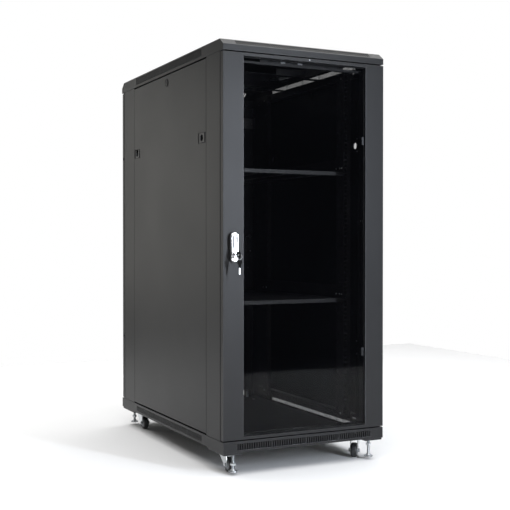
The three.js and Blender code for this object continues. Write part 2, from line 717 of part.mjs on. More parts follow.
function addDoors() {
  add("front_door_frame", frontDoorFrame(), PAINT);
  add("front_door_glass", frontDoorGlass(), GLASS);
  add("front_handle_base", handleBase(), PLASTIC);
  add("front_lock_hub", lockHub(true), ZINC);
  add("front_handle_lever", handleLever(true), CHROME);
  add("front_key", lockKey(), PLASTIC);
  add("front_spare_key", spareKey(), PLASTIC);
  add("front_rod_upper", lockRod(1), ZINC);
  add("front_rod_lower", lockRod(-1), ZINC);
  add("front_hinge_lower", hinge(HINGE_Z[0]), ZINC);
  add("front_hinge_upper", hinge(HINGE_Z[1]), ZINC);
  const rear = new THREE.Group();
  rear.rotation.z = Math.PI;
  rear.position.y = REAR_FACE + FRONT;
  cabinet.add(rear);
  rear.add(add("rear_door_panel", rearDoorPanel(), PAINT));
  rear.add(add("rear_handle_base", handleBase(), PLASTIC));
  rear.add(add("rear_lock_hub", lockHub(false), ZINC));
  rear.add(add("rear_handle_lever", handleLever(false), CHROME));
  rear.add(add("rear_hinge_lower", hinge(HINGE_Z[0]), ZINC));
  rear.add(add("rear_hinge_upper", hinge(HINGE_Z[1]), ZINC));
}

// ---------------------------------------------------------------- side panels

const LATCH_GRIP = [50, 32];

function sidePanel() {
  const y = [PANEL_Y[0] + 0.5, PANEL_Y[1] - 0.5];
  const inner = SIDE - PANEL_THICK;
  const skin = SIDE - SKIN;
  const middle = (y[0] + y[1]) / 2;
  let panel = cut(
    box([inner, SIDE], y, PANEL_Z),
    box([inner - 1, skin], [y[0] + SKIN, y[1] - SKIN], [PANEL_Z[0] + SKIN, PANEL_Z[1] - SKIN]),
    cylinder("x", [middle, PANEL_Z[1] - PANEL_LOCK_DROP], 11.3, [skin - 1, SIDE + 1]),
  );
  for (const at of LATCH_Y) {
    const slotY = [at - LATCH_GRIP[0] / 2 - 0.5, at + LATCH_GRIP[0] / 2 + LATCH_TRAVEL + 0.5];
    const slotZ = [LATCH_Z - LATCH_GRIP[1] / 2 - 0.5, LATCH_Z + LATCH_GRIP[1] / 2 + 0.5];
    panel = panel.subtract(box([skin - 1, SIDE + 1], slotY, slotZ));
  }
  return panel;
}

// A round cam lock near the panel's top: head, barrel and a cam that points up when locked.
function sideLock() {
  const at = [(PANEL_Y[0] + PANEL_Y[1]) / 2, PANEL_Z[1] - PANEL_LOCK_DROP];
  const cam = [SIDE - PANEL_THICK + 1, SIDE - PANEL_THICK + 3.5];
  return join(
    cylinder("x", at, 14, [SIDE + FIT, SIDE + 2.5]),
    cylinder("x", at, 11, [cam[0], SIDE + 1]),
    box(cam, [at[0] - 7, at[0] + 7], [at[1], at[1] + 21]),
  );
}

// A slide latch: a plate behind the panel's skin, a grip with a finger hole and a raised bar in front.
function sideLatch(at) {
  const grip = SIDE - SKIN - FIT;
  const plateY = at < 0 ? [at - 27.5, at + 36] : [at - 36, at + 27.5];
  const plate = box(
    [grip - 3, grip],
    plateY,
    [LATCH_Z - LATCH_GRIP[1] / 2 - 5, LATCH_Z + LATCH_GRIP[1] / 2 + 5],
  );
  const face = box(
    [grip - 1, SIDE - 0.2],
    [at - LATCH_GRIP[0] / 2, at + LATCH_GRIP[0] / 2],
    [LATCH_Z - LATCH_GRIP[1] / 2, LATCH_Z + LATCH_GRIP[1] / 2],
  );
  const bar = box([SIDE - 1, SIDE + 1.6], [at - 20, at - 10], [LATCH_Z - 15.5, LATCH_Z + 15.5]);
  const finger = cylinder("x", [at + 8, LATCH_Z], 11.5, [grip - 4, SIDE + 2], 16);
  return join(plate, face, bar).subtract(finger);
}

// ---------------------------------------------------------------- the whole cabinet

add("plinth", plinth(), PAINT);
add("roof", roof(), PAINT);
addPair("column_front", column(COLUMN_FRONT, PANEL_Y[0]), PAINT);
addPair("column_rear", column(COLUMN_REAR, PANEL_Y[1]), PAINT);
add("cross_beam_front", crossBeam(FRONT + END_FLANGE - SHEET), DARK_PAINT);
add("cross_beam_rear", crossBeam(REAR - END_FLANGE - 16), DARK_PAINT);
addPair("depth_beam_lower", depthBeam(PLINTH_Z[1] + FIT), DARK_PAINT);
addPair("depth_beam_upper", depthBeam(ROOF_BOTTOM - FIT - BEAM_TALL), DARK_PAINT);
addPair("rail_front", mountingRail(FRONT + RAIL_FACE, 1, HOLES_IN_UNIT), DARK_PAINT);
addPair("rail_rear", mountingRail(FRONT + REAR_RAIL_FACE, -1, HOLES_IN_UNIT.slice(1, 2)), DARK_PAINT);
add("shelf_lower", shelf(SHELF_TOPS[0]), DARK_PAINT);
add("shelf_upper", shelf(SHELF_TOPS[1]), DARK_PAINT);
add("fan_tray", fanTray(), DARK_PAINT);
FAN_Y.forEach((y, row) => {
  const z = ROOF_BOTTOM + FIT + SKIN + 2;
  add(`fan_rotor_${row ? "rear" : "front"}_left`, fanRotor(), PLASTIC).position.set(-FAN_X, y, z);
  add(`fan_rotor_${row ? "rear" : "front"}_right`, fanRotor(), PLASTIC).position.set(FAN_X, y, z);
});
addCasters();
addDoors();
addPair("side_panel", sidePanel(), PAINT);
addPair("side_lock", sideLock(), PLASTIC);
addPair("side_latch_front", sideLatch(LATCH_Y[0]), PLASTIC);
addPair("side_latch_rear", sideLatch(LATCH_Y[1]), PLASTIC);

// The key reaches furthest at the front and the rear lever at the back: the origin goes between them.
const REACH_FRONT = FRONT - KEY_REACH;
const REACH_REAR = REAR_FACE + LEVER_REACH;
cabinet.position.y = -(REACH_FRONT + REACH_REAR) / 2;

export default cabinet;
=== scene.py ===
import json
import math

import bmesh
import bpy
from mathutils import Matrix, Vector


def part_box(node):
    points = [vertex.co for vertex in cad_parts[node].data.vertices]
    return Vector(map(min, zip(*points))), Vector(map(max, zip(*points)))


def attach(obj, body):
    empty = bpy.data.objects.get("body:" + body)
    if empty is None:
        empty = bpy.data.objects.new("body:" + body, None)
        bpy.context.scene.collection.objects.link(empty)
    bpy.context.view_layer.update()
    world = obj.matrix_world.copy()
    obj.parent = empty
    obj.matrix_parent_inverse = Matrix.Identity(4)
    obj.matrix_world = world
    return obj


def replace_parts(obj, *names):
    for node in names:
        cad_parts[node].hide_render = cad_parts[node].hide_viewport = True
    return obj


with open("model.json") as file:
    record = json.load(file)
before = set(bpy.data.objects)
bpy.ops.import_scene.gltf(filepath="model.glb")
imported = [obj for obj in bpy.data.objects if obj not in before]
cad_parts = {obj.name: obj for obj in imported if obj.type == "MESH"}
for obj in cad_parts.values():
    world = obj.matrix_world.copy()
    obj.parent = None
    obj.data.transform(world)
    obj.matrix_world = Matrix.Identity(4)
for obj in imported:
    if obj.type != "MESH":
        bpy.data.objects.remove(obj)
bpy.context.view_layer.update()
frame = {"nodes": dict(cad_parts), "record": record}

NODES = frame["nodes"]
BODY_OF = {node: body for body, nodes in frame["record"]["behaviour"]["bodies"].items() for node in nodes}
X, Y, Z = Vector((1, 0, 0)), Vector((0, 1, 0)), Vector((0, 0, 1))


def about(middle, half):
    """The span of a length either side of its middle."""
    return middle - half, middle + half


def circle(steps):
    """Equal steps once round, in radians."""
    return [2 * math.pi * i / steps for i in range(steps)]


# ---------------------------------------------------------------- materials

def material(name, color, rough, metal=0.0, grain=600.0, bump=0.1, tone=0.15, spread=0.08,
             streak=(1, 1, 1), ior=1.5, alpha=1.0):
    """A node material: colour that drifts by tone, roughness that drifts by spread, and a fine grain."""
    made = bpy.data.materials.new(name)
    made.use_nodes = True
    tree = made.node_tree
    shader = tree.nodes["Principled BSDF"]
    shader.inputs["Metallic"].default_value = metal
    shader.inputs["IOR"].default_value = ior
    shader.inputs["Alpha"].default_value = alpha
    place = tree.nodes.new("ShaderNodeTexCoord")
    stretch = tree.nodes.new("ShaderNodeMapping")
    stretch.inputs["Scale"].default_value = streak
    tree.links.new(place.outputs["Object"], stretch.inputs["Vector"])

    def noise(scale, detail):
        node = tree.nodes.new("ShaderNodeTexNoise")
        node.inputs["Scale"].default_value = scale
        node.inputs["Detail"].default_value = detail
        tree.links.new(stretch.outputs["Vector"], node.inputs["Vector"])
        return node.outputs["Fac"]

    broad, fine = noise(5.0, 4.0), noise(grain, 3.0)
    ramp = tree.nodes.new("ShaderNodeValToRGB")
    ramp.color_ramp.elements[0].position = 0.3
    ramp.color_ramp.elements[0].color = (*[c * (1 - tone) for c in color], 1)
    ramp.color_ramp.elements[1].position = 0.7
    ramp.color_ramp.elements[1].color = (*[min(1, c * (1 + tone)) for c in color], 1)
    mix = tree.nodes.new("ShaderNodeMix")
    mix.inputs["Factor"].default_value = 0.5
    tree.links.new(broad, mix.inputs[2])
    tree.links.new(fine, mix.inputs[3])
    tree.links.new(mix.outputs[0], ramp.inputs["Fac"])
    tree.links.new(ramp.outputs["Color"], shader.inputs["Base Color"])
    drift = tree.nodes.new("ShaderNodeMapRange")
    drift.inputs["To Min"].default_value = max(0.02, rough - spread)
    drift.inputs["To Max"].default_value = min(1, rough + spread)
    tree.links.new(mix.outputs[0], drift.inputs["Value"])
    tree.links.new(drift.outputs["Result"], shader.inputs["Roughness"])
    relief = tree.nodes.new("ShaderNodeBump")
    relief.inputs["Strength"].default_value = bump
    relief.inputs["Distance"].default_value = 0.0004
    tree.links.new(fine, relief.inputs["Height"])
    tree.links.new(relief.outputs["Normal"], shader.inputs["Normal"])
    return made


PAINT = material("paint", (0.0085, 0.0087, 0.0096), 0.42, grain=900, bump=0.35, tone=0.12, ior=1.36)
EDGE = material("paint_edge", (0.03, 0.031, 0.035), 0.36, grain=700, bump=0.25, tone=0.2)
INNER = material("inner_paint", (0.014, 0.014, 0.016), 0.42, grain=900, bump=0.3, tone=0.12)
ZINC = material("zinc", (0.62, 0.64, 0.66), 0.3, metal=1, grain=450, bump=0.12, tone=0.12, spread=0.1)
STEEL = material("steel", (0.5, 0.5, 0.51), 0.34, metal=1, grain=500, bump=0.15, tone=0.15,
                 streak=(1, 1, 8))
CHROME = material("chrome", (0.86, 0.87, 0.89), 0.2, metal=1, grain=800, bump=0.02, tone=0.04, spread=0.05)
DULL_ZINC = material("dull_zinc", (0.13, 0.132, 0.138), 0.45, metal=1, grain=500, bump=0.2, tone=0.15)
PLASTIC = material("plastic", (0.012, 0.012, 0.0135), 0.42, grain=800, bump=0.2, tone=0.1)
GREY_PLASTIC = material("grey_plastic", (0.3, 0.31, 0.33), 0.5, grain=700, bump=0.2, tone=0.1)
RUBBER = material("rubber", (0.01, 0.01, 0.011), 0.62, grain=900, bump=0.35, tone=0.15)
# A lighter band for the crown of the caster tyres: a painted highlight.
TREAD_HIGHLIGHT = material("painted_tread_highlight", (0.03, 0.031, 0.034), 0.4, grain=500, bump=0.2, tone=0.2)
KEY_BLACK = material("key_black", (0.003, 0.003, 0.0033), 0.7, grain=800, bump=0.2, tone=0.15, ior=1.18)
# Near-black painted shade: on the rounded edges of columns and side panels, so that the gaps between parts
# read dark, and for the lock keyways.
SHADE_BLACK = material("painted_shade_black", (0.003, 0.003, 0.0035), 0.75, grain=900, bump=0.2, tone=0.2)
GLASS = material("glass", (0.002, 0.0022, 0.003), 0.025, grain=3, bump=0.0, tone=0.2, spread=0.005,
                 ior=1.3, alpha=0.28)
FLOOR = material("floor", (0.95, 0.95, 0.95), 0.8, grain=120, bump=0.02, tone=0.01)


# ---------------------------------------------------------------- shapes

class Piece:
    """A mesh under construction. Every shape takes the material index in hand."""

    def __init__(self):
        self.bm = bmesh.new()
        self.index = 0

    def faces(self, points, corners):
        made = [self.bm.verts.new(p) for p in points]
        for ring in corners:
            face = self.bm.faces.new([made[i] for i in ring])
            face.material_index = self.index

    def box(self, x, y, z):
        points = [(a, b, c) for a in x for b in y for c in z]
        self.faces(points, [(0, 1, 3, 2), (4, 6, 7, 5), (0, 4, 5, 1),
                            (2, 3, 7, 6), (0, 2, 6, 4), (1, 5, 7, 3)])

    def turned(self, centre, axis, profile, steps=24):
        """A profile of (along the axis, radius) turned about it; a radius of 0 closes an end."""
        axis = Vector(axis).normalized()
        side = axis.orthogonal().normalized()
        other = axis.cross(side)
        rings = []
        for along, radius in profile:
            base = Vector(centre) + axis * along
            if radius == 0:
                rings.append([self.bm.verts.new(base)])
                continue
            turns = [2 * math.pi * (i + 0.5) / steps for i in range(steps)]
            rings.append([self.bm.verts.new(base + radius * (math.cos(t) * side + math.sin(t) * other))
                          for t in turns])
        for low, high in zip(rings, rings[1:]):
            for i in range(steps):
                j = (i + 1) % steps
                if len(low) == 1:
                    ring = [low[0], high[j], high[i]]
                elif len(high) == 1:
                    ring = [low[i], low[j], high[0]]
                else:
                    ring = [low[i], low[j], high[j], high[i]]
                self.bm.faces.new(ring).material_index = self.index

    def wire(self, points, radius, closed=False, sides=6):
        points = [Vector(p) for p in points]
        count = len(points)
        rings = []
        for i, p in enumerate(points):
            before = points[(i - 1) % count] if closed or i else p
            after = points[(i + 1) % count] if closed or i < count - 1 else p
            along = (after - before).normalized()
            side = along.cross(Z if abs(along.z) < 0.9 else X).normalized()
            other = along.cross(side)
            rings.append([self.bm.verts.new(p + radius * (math.cos(t) * side + math.sin(t) * other))
                          for t in circle(sides)])
        pairs = list(zip(rings, rings[1:])) + ([(rings[-1], rings[0])] if closed else [])
        for low, high in pairs:
            for k in range(sides):
                m = (k + 1) % sides
                self.bm.faces.new([low[k], low[m], high[m], high[k]]).material_index = self.index
        if not closed:
            self.bm.faces.new(rings[0][::-1]).material_index = self.index
            self.bm.faces.new(rings[-1]).material_index = self.index

    def sheet(self, origin, u, v, size, holes, thick):
        """A flat sheet with square-cornered holes, each (u0, u1, v0, v1), thickened along u x v."""
        origin, u, v = Vector(origin), Vector(u), Vector(v)
        us = sorted({0.0, size[0]} | {h[0] for h in holes} | {h[1] for h in holes})
        vs = sorted({0.0, size[1]} | {h[2] for h in holes} | {h[3] for h in holes})
        grid = {}
        made = []
        for a, (u0, u1) in enumerate(zip(us, us[1:])):
            for b, (v0, v1) in enumerate(zip(vs, vs[1:])):
                middle = ((u0 + u1) / 2, (v0 + v1) / 2)
                if any(h[0] < middle[0] < h[1] and h[2] < middle[1] < h[3] for h in holes):
                    continue
                ring = []
                for i, j in ((a, b), (a + 1, b), (a + 1, b + 1), (a, b + 1)):
                    if (i, j) not in grid:
                        grid[i, j] = self.bm.verts.new(origin + us[i] * u + vs[j] * v)
                    ring.append(grid[i, j])
                face = self.bm.faces.new(ring)
                face.material_index = self.index
                made.append(face)
        bmesh.ops.recalc_face_normals(self.bm, faces=made)
        bmesh.ops.solidify(self.bm, geom=made, thickness=thick)

    def screw(self, at, axis, radius, height=None):
        """A pan head with a round driver recess."""
        h = height or radius * 0.6
        self.turned(at, axis, [(0, 0), (0, radius), (h * 0.45, radius * 0.97), (h * 0.85, radius * 0.75),
                               (h, radius * 0.45), (h * 0.45, radius * 0.36), (h * 0.45, 0)], 14)

    def move(self, matrix):
        bmesh.ops.transform(self.bm, matrix=matrix, verts=self.bm.verts)
        return self

    def make(self, name, body, slot, materials, bevel=0.0, angle=35):
        """The finished piece, shaded smooth but for its sharp edges, riding on its body."""
        bmesh.ops.recalc_face_normals(self.bm, faces=self.bm.faces)
        mesh = bpy.data.meshes.new(name)
        self.bm.to_mesh(mesh)
        self.bm.free()
        return finish_piece(mesh, name, body, materials, bevel, angle)


def finish_piece(mesh, name, body, materials, bevel, angle):
    for m in materials:
        mesh.materials.append(m)
    mesh.shade_smooth()
    mesh.set_sharp_from_angle(angle=math.radians(angle))
    piece = bpy.data.objects.new(name, mesh)
    bpy.context.scene.collection.objects.link(piece)
    if bevel:
        rounding = piece.modifiers.new("rounding", "BEVEL")
        rounding.width = bevel
        rounding.segments = 2
        rounding.limit_method = "ANGLE"
        rounding.angle_limit = math.radians(40)
        rounding.use_clamp_overlap = False
        # The rounded edges take the second material. With the near-black painted shade, this paints the gaps
        # between parts dark.
        if len(materials) > 1 and materials[1] in (EDGE, SHADE_BLACK):
            rounding.material = 1
    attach(piece, body)
    return piece


def soften(node, width, materials):
    """Stands for a CAD node with the same solid, its flat faces whole and its edges rounded."""
    work = bmesh.new()
    work.from_mesh(NODES[node].data)
    bmesh.ops.remove_doubles(work, verts=work.verts, dist=1e-6)
    bmesh.ops.dissolve_limit(work, angle_limit=math.radians(0.5), verts=work.verts, edges=work.edges)
    for face in work.faces:
        face.material_index = 0
    mesh = bpy.data.meshes.new(f"{node}_rounded")
    work.to_mesh(mesh)
    work.free()
    piece = finish_piece(mesh, f"{node}_rounded", BODY_OF[node], materials, width, 30)
    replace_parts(piece, node)
    return piece


def dress(node, slot_material):
    """A CAD node that keeps its own shape and gets a better material."""
    mesh = NODES[node].data
    mesh.materials.clear()
    mesh.materials.append(slot_material)


# ---------------------------------------------------------------- sheet steel bodywork

for name in ("plinth", "roof", "front_door_frame", "rear_door_panel"):
    soften(name, 0.0006, [PAINT, EDGE])
# The rounded edges of the columns and side panels are painted near-black, as the shade in the gaps around
# them.
for name in ("column_front_right", "column_front_left", "column_rear_right", "column_rear_left",
             "side_panel_right", "side_panel_left"):
    soften(name, 0.0012, [PAINT, SHADE_BLACK])
for name in ("cross_beam_rear", "depth_beam_lower_right", "depth_beam_lower_left",
             "depth_beam_upper_right", "depth_beam_upper_left", "shelf_lower", "shelf_upper", "fan_tray"):
    soften(name, 0.0004, [INNER, EDGE])
for name in ("front_hinge_lower", "front_hinge_upper", "rear_hinge_lower", "rear_hinge_upper"):
    dress(name, DULL_ZINC)
for name in ("front_lock_hub", "rear_lock_hub", "front_rod_upper", "front_rod_lower"):
    dress(name, ZINC)
dress("front_door_glass", GLASS)

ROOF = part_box("roof")
SIDE = ROOF[1].x
FRONT, REAR = ROOF[0].y, ROOF[1].y
MIDDLE = (FRONT + REAR) / 2
ROOF_LOW, ROOF_TOP = ROOF[0].z, ROOF[1].z
PLINTH_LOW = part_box("caster_fork_front_left")[1].z - 0.004
PLINTH_TOP = PLINTH_LOW + 0.036
BAR = 0.0037
SKIN = (0.0003, 0.0017)
ROW_ACROSS = (0.5, 4, 15)
ROW_ALONG = (0.648, 5, 16)


def slat_places(length, windows, per_window):
    """Middles of the slats inside the windows of one vent row, measured from the row's middle."""
    pitch = (length + 0.005) / windows
    step = pitch / per_window
    edges = [(w - windows / 2) * pitch for w in range(windows)]
    return [edge + step * (k + 1) for edge in edges for k in range(per_window - 1)]


def plinth_slats():
    """Upright slats that turn the plinth's vent windows into fine slots."""
    p = Piece()
    z = (PLINTH_LOW + 0.0075, PLINTH_LOW + 0.0285)
    for x in slat_places(*ROW_ACROSS):
        span = about(x, BAR / 2)
        p.box(span, (FRONT + SKIN[0], FRONT + SKIN[1]), z)
        p.box(span, (REAR - SKIN[1], REAR - SKIN[0]), z)
    for y in slat_places(*ROW_ALONG):
        span = about(MIDDLE + y, BAR / 2)
        p.box((SIDE - SKIN[1], SIDE - SKIN[0]), span, z)
        p.box((SKIN[0] - SIDE, SKIN[1] - SIDE), span, z)
    p.make("plinth_slats", "frame", "paint", [PAINT])


def roof_slats():
    """The same for the roof: upright at the sides and sloping with the chamfer at front and rear."""
    p = Piece()
    z = (ROOF_LOW + 0.0085, ROOF_TOP - 0.0035)
    for y in slat_places(*ROW_ALONG):
        span = about(MIDDLE + y, BAR / 2)
        p.box((SIDE - SKIN[1], SIDE - SKIN[0]), span, z)
        p.box((SKIN[0] - SIDE, SKIN[1] - SIDE), span, z)
    low, high = (0.0026, ROOF_LOW + 0.0218), (0.0227, ROOF_TOP - 0.0037)
    for x in slat_places(*ROW_ACROSS):
        for face, way in ((FRONT, 1), (REAR, -1)):
            outer = [(face + way * low[0], low[1]), (face + way * high[0], high[1])]
            inner = [(y + way * 0.0009, h - 0.0012) for y, h in outer]
            points = [(x + s * BAR / 2, y, h) for s in (-1, 1) for y, h in outer + inner[::-1]]
            p.faces(points, [(0, 1, 2, 3), (7, 6, 5, 4), (0, 4, 5, 1),
                             (2, 6, 7, 3), (1, 5, 6, 2), (0, 3, 7, 4)])
    for sx in (-1, 1):
        p.box(sorted((sx * (SIDE - 0.0024), sx * (SIDE - 0.003))), about(MIDDLE, 0.33),
              (ROOF_TOP - 0.0085, ROOF_TOP - 0.0025))
    p.make("roof_slats", "frame", "paint", [PAINT])


def roof_details():
    """Screws and the cable entry's blanking plate on top of the roof."""
    p = Piece()
    for sx in (-1, 1):
        for y in (FRONT + 0.055, MIDDLE, REAR - 0.055):
            p.screw((sx * (SIDE - 0.03), y, ROOF_TOP - 0.0004), Z, 0.004, 0.0012)
    p.make("roof_screws", "frame", "zinc", [ZINC])
    q = Piece()
    y = REAR - 0.13
    q.box((-0.075, 0.075), about(y, 0.045), (ROOF_TOP - 0.0012, ROOF_TOP + 0.0008))
    q.make("roof_cable_plate", "frame", "paint", [PAINT, EDGE], bevel=0.0006)


plinth_slats()
roof_slats()
roof_details()


# ---------------------------------------------------------------- inside: rails, columns, shelves

UNIT = 0.04445
UNITS = 27
UNIT_LOW = (PLINTH_TOP + ROOF_LOW) / 2 - UNITS * UNIT / 2
HOLES_IN_UNIT = (0.00635, 0.022225, 0.0381)
RAIL_Z = (UNIT_LOW - 0.006, UNIT_LOW + UNITS * UNIT + 0.006)
RAIL_X = (0.225, 0.252)
LIP_DROP = 0.045


def mounting_rail(name, face, way, sx):
    """A rail with three square holes to a unit, slots down its web and a joggled rear edge."""
    p = Piece()
    tall = RAIL_Z[1] - RAIL_Z[0]
    half, at = 0.00475, 0.00755
    holes, slots = [], []
    for unit in range(UNITS):
        base = UNIT_LOW + unit * UNIT - RAIL_Z[0]
        for offset in HOLES_IN_UNIT:
            holes.append((at - half, at + half, base + offset - half, base + offset + half))
        slots.append((0.036, 0.041, base + 0.016, base + 0.028))
        if unit % 3 == 1:
            slots.append((0.012, 0.024, base + 0.018, base + 0.026))
    inner, outer = sx * RAIL_X[0], sx * RAIL_X[1]
    low = RAIL_Z[0]
    p.sheet((inner, face, low), X * sx, Z, (RAIL_X[1] - RAIL_X[0], tall), holes, way * sx * 0.002)
    p.sheet((inner, face + way * 0.0021, low), Y * way, Z, (0.0478, tall), slots, -way * sx * 0.002)
    p.box(sorted((outer - sx * 0.002, outer)), sorted((face + way * 0.002, face + way * 0.014)), RAIL_Z)
    p.box(sorted((inner + sx * 0.002, inner + sx * 0.014)),
          sorted((face + way * 0.048, face + way * 0.05)), RAIL_Z)
    p.box(sorted((inner - sx * 0.0006, inner)), sorted((face + way * 0.028, face + way * 0.0295)), RAIL_Z)
    rail = p.make(f"{name}_punched", "frame", "inner_paint", [INNER, EDGE])
    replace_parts(rail, name)


for side, sx in (("right", 1), ("left", -1)):
    mounting_rail(f"rail_front_{side}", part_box(f"rail_front_{side}")[0].y, 1, sx)
    mounting_rail(f"rail_rear_{side}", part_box(f"rail_rear_{side}")[1].y, -1, sx)
FRONT_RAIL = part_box("rail_front_right")[0].y
REAR_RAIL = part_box("rail_rear_right")[1].y
COLUMN_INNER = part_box("column_front_right")[0].x


def column_strips():
    """Slotted strips on the columns' inner walls, one slot to a unit in two rows."""
    for where, front in (("front", True), ("rear", False)):
        for side, sx in (("right", 1), ("left", -1)):
            low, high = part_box(f"column_{where}_{side}")
            start = low.y + 0.004 if front else high.y - 0.094
            p = Piece()
            slots = []
            for unit in range(UNITS):
                base = UNIT_LOW + unit * UNIT - low.z - 0.004
                slots.append((0.056, 0.061, base + 0.012, base + 0.032))
                slots.append((0.079, 0.084, base + 0.018, base + 0.027))
            p.sheet((sx * COLUMN_INNER, start, low.z + 0.004), Y, Z, (0.09, high.z - low.z - 0.008), slots,
                    sx * 0.0009)
            p.make(f"column_strip_{where}_{side}", "frame", "inner_paint", [INNER])


column_strips()


def inner_screws():
    """The bright screws that hold shelves, rails and hinges."""
    p = Piece()
    shelf_tops = [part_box(n)[1].z - LIP_DROP for n in ("shelf_lower", "shelf_upper")]
    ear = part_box("shelf_lower")[1].x
    for sx in (-1, 1):
        for top in shelf_tops:
            for y in (FRONT_RAIL + 0.009, FRONT_RAIL + 0.023, FRONT_RAIL + 0.046, REAR_RAIL - 0.012,
                      REAR_RAIL - 0.04):
                p.screw((sx * (ear - 0.0015), y, top + 0.014), -sx * X, 0.0032)
        for z in (RAIL_Z[0] + 0.016, RAIL_Z[1] - 0.016):
            for y in (FRONT_RAIL + 0.02, REAR_RAIL - 0.02):
                p.screw((sx * 0.2247, y, z), -sx * X, 0.004)
        for hinge in ("lower", "upper"):
            middle = sum(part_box(f"front_hinge_{hinge}")[k].z for k in (0, 1)) / 2
            for dz in (-0.0225, 0.0225):
                p.screw((sx * (COLUMN_INNER - 0.0011), FRONT + 0.13, middle + dz), -sx * X, 0.0022)
    p.screw((COLUMN_INNER - 0.0011, FRONT + 0.105, 0.818), -X, 0.0026)
    p.make("inner_screws", "frame", "zinc", [ZINC])


inner_screws()


def shelf_hems():
    """A folded hem under each shelf's front lip, and three stiffening channels below its plate."""
    for node in ("shelf_lower", "shelf_upper"):
        low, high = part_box(node)
        top = high.z - LIP_DROP
        p = Piece()
        p.box((low.x + 0.004, high.x - 0.004), (low.y + 0.0016, low.y + 0.011),
              (low.z + 0.0002, low.z + 0.0014))
        for x in (-0.11, 0.0, 0.11):
            along = (low.y + 0.02, high.y - 0.02)
            p.box((x - 0.012, x - 0.0105), along, (top - 0.013, top - 0.0016))
            p.box((x + 0.0105, x + 0.012), along, (top - 0.013, top - 0.0016))
            p.box(about(x, 0.012), along, (top - 0.0145, top - 0.013))
        p.make(f"{node}_hem", "frame", "inner_paint", [INNER, EDGE], bevel=0.0003)


shelf_hems()


def front_beam():
    """The front cross beam, lightened at both ends, with two clips, an earth stud and a blanking plug."""
    low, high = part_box("cross_beam_front")
    beam = Piece()
    span, tall = high.x - low.x, high.z - low.z
    windows = [(0.012, 0.122, 0.007, tall - 0.003), (span - 0.122, span - 0.012, 0.007, tall - 0.003)]
    beam.sheet((low.x, low.y, low.z), X, Z, (span, tall), windows, -0.0018)
    beam.box((low.x, high.x), (low.y + 0.0018, high.y), (low.z, low.z + 0.002))
    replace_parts(beam.make("front_beam", "frame", "inner_paint", [INNER, EDGE]), "cross_beam_front")
    p = Piece()
    for x in (-0.072, -0.008):
        p.box(about(x, 0.0085), (low.y - 0.003, low.y - 0.0002), (low.z + 0.009, low.z + 0.0145))
        p.box(about(x, 0.0085), (low.y - 0.0012, low.y - 0.0002), (low.z + 0.0145, low.z + 0.021))
    p.screw((0.205, low.y, low.z + 0.016), -Y, 0.0045)
    p.make("front_beam_clips", "frame", "zinc", [ZINC], bevel=0.0003)
    q = Piece()
    q.turned((0.14, low.y, low.z + 0.015), -Y, [(0, 0), (0, 0.008), (0.0018, 0.0075), (0.0018, 0.005),
                                                (0.0006, 0.004), (0.0006, 0)])
    q.make("front_beam_plug", "frame", "plastic", [PLASTIC])


front_beam()


def grey_plate():
    """A small plain plate with two screws on a bracket high on the rear right column, facing forwards."""
    right, y, z = COLUMN_INNER - 0.0011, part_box("column_rear_right")[1].y - 0.004, 1.253
    p = Piece()
    p.box((right - 0.061, right), (y - 0.0025, y), about(z, 0.022))
    p.box((right - 0.0015, right), (y - 0.022, y - 0.0025), about(z, 0.022))
    p.index = 1
    for x in (right - 0.053, right - 0.008):
        p.screw((x, y - 0.0025, z), -Y, 0.0034)
    p.make("grey_plate", "frame", "plastic", [GREY_PLASTIC, ZINC], bevel=0.0004)


grey_plate()


# ---------------------------------------------------------------- fans

def fan_guard(name, x, y):
    """Concentric wire rings on four legs under a fan, screwed at its corners."""
    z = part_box("fan_tray")[0].z - 0.0014
    p = Piece()
    for radius in (0.009, 0.0165, 0.024, 0.0315, 0.039, 0.0465, 0.054):
        ring = [(x + radius * math.cos(t), y + radius * math.sin(t), z - 0.0012) for t in circle(32)]
        p.wire(ring, 0.0012, True, 5)
    for quarter in range(4):
        t = math.pi * (quarter / 2 + 0.25)
        far = Vector((x + 0.0742 * math.cos(t), y + 0.0742 * math.sin(t), z - 0.0004))
        near = Vector((x + 0.004 * math.cos(t), y + 0.004 * math.sin(t), z - 0.0028))
        p.wire([near, (near + far) / 2 - Z * 0.0008, far], 0.001, False, 5)
        p.turned(far, -Z, [(0, 0.002), (0, 0.0045), (0.0012, 0.0045), (0.0012, 0.002), (0, 0.002)], 12)
        p.screw(far - Z * 0.0008, -Z, 0.0036)
    p.make(name, "frame", "chrome", [CHROME])


FAN_X = 0.13
FAN_Y = {"front": -0.092, "rear": 0.145}

for place in ("front_left", "front_right", "rear_left", "rear_right"):
    soften(f"fan_rotor_{place}", 0.0004, [PLASTIC])
    sign = -1 if place.endswith("left") else 1
    hub = (sign * FAN_X, MIDDLE + FAN_Y[place.split("_")[0]])
    fan_guard(f"fan_guard_{place}", *hub)


# ---------------------------------------------------------------- casters and feet

CASTER_TURN = {"front_right": -40, "front_left": 0, "rear_right": 12, "rear_left": 0}
CASTER_AT = (0.25, 0.405)
PLATE_AT = (0.264, 0.431)
FOOT_AT = (0.256, 0.478)
TRAIL, AXLE_HEIGHT = 0.033, 0.025


def corner_place(corner, x, y):
    return (x if corner.endswith("right") else -x, MIDDLE + (y if corner.startswith("rear") else -y))


